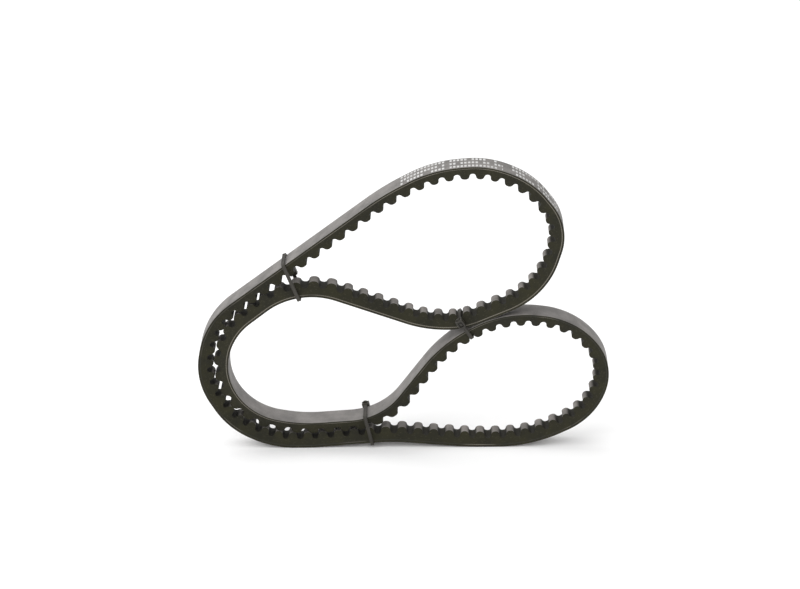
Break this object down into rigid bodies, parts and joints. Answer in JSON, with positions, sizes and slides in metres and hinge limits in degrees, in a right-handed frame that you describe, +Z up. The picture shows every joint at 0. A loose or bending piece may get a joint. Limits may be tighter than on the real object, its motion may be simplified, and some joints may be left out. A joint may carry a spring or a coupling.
{
  "type": "v belt",
  "caption": "Cogged raw-edge V belt, one endless loop bent into two back-to-back lobes and held by small cable ties, as packed for storage.",
  "frame": {"origin": "centre of the bundle's footprint at the surface it stands on", "axes": "+Z up; +X along the bundle's length, towards the two lobes; +Y across the belt's width, away from the viewer"},
  "size_m": [0.2324, 0.0204, 0.1746],
  "materials": {
    "back_fabric": "rubberised fabric, matt, dark grey",
    "belt_rubber": "cut rubber, matt black",
    "cog_rubber": "moulded and ground rubber, matt black",
    "cord": "polyester cord, cut ends showing on the flank",
    "tie_nylon": "black nylon, satin"
  },
  "bodies": {
    "belt": {"back_fabric": "back_fabric", "overcord_rubber": "belt_rubber", "undercord_rubber": "belt_rubber", "tensile_cord_1": "cord", "tensile_cord_2": "cord", "tensile_cord_3": "cord", "tensile_cord_4": "cord", "tensile_cord_5": "cord", "tensile_cord_6": "cord", "tensile_cord_7": "cord", "tensile_cord_8": "cord", "tensile_cord_9": "cord", "tensile_cord_10": "cord", "cogged_base": "cog_rubber", "tie_middle": "tie_nylon"},
    "upper_tie": {"tie_upper": "tie_nylon"},
    "lower_tie": {"tie_lower": "tie_nylon"}
  },
  "joints": [
    {"name": "upper_tie_slide", "type": "slide", "parent": "belt", "child": "upper_tie", "axis": [-0.891, 0, -0.454], "range_m": [0, 0.005]},
    {"name": "lower_tie_slide", "type": "slide", "parent": "belt", "child": "lower_tie", "axis": [-0.9925, 0, -0.122], "range_m": [0, 0.005]}
  ]
}
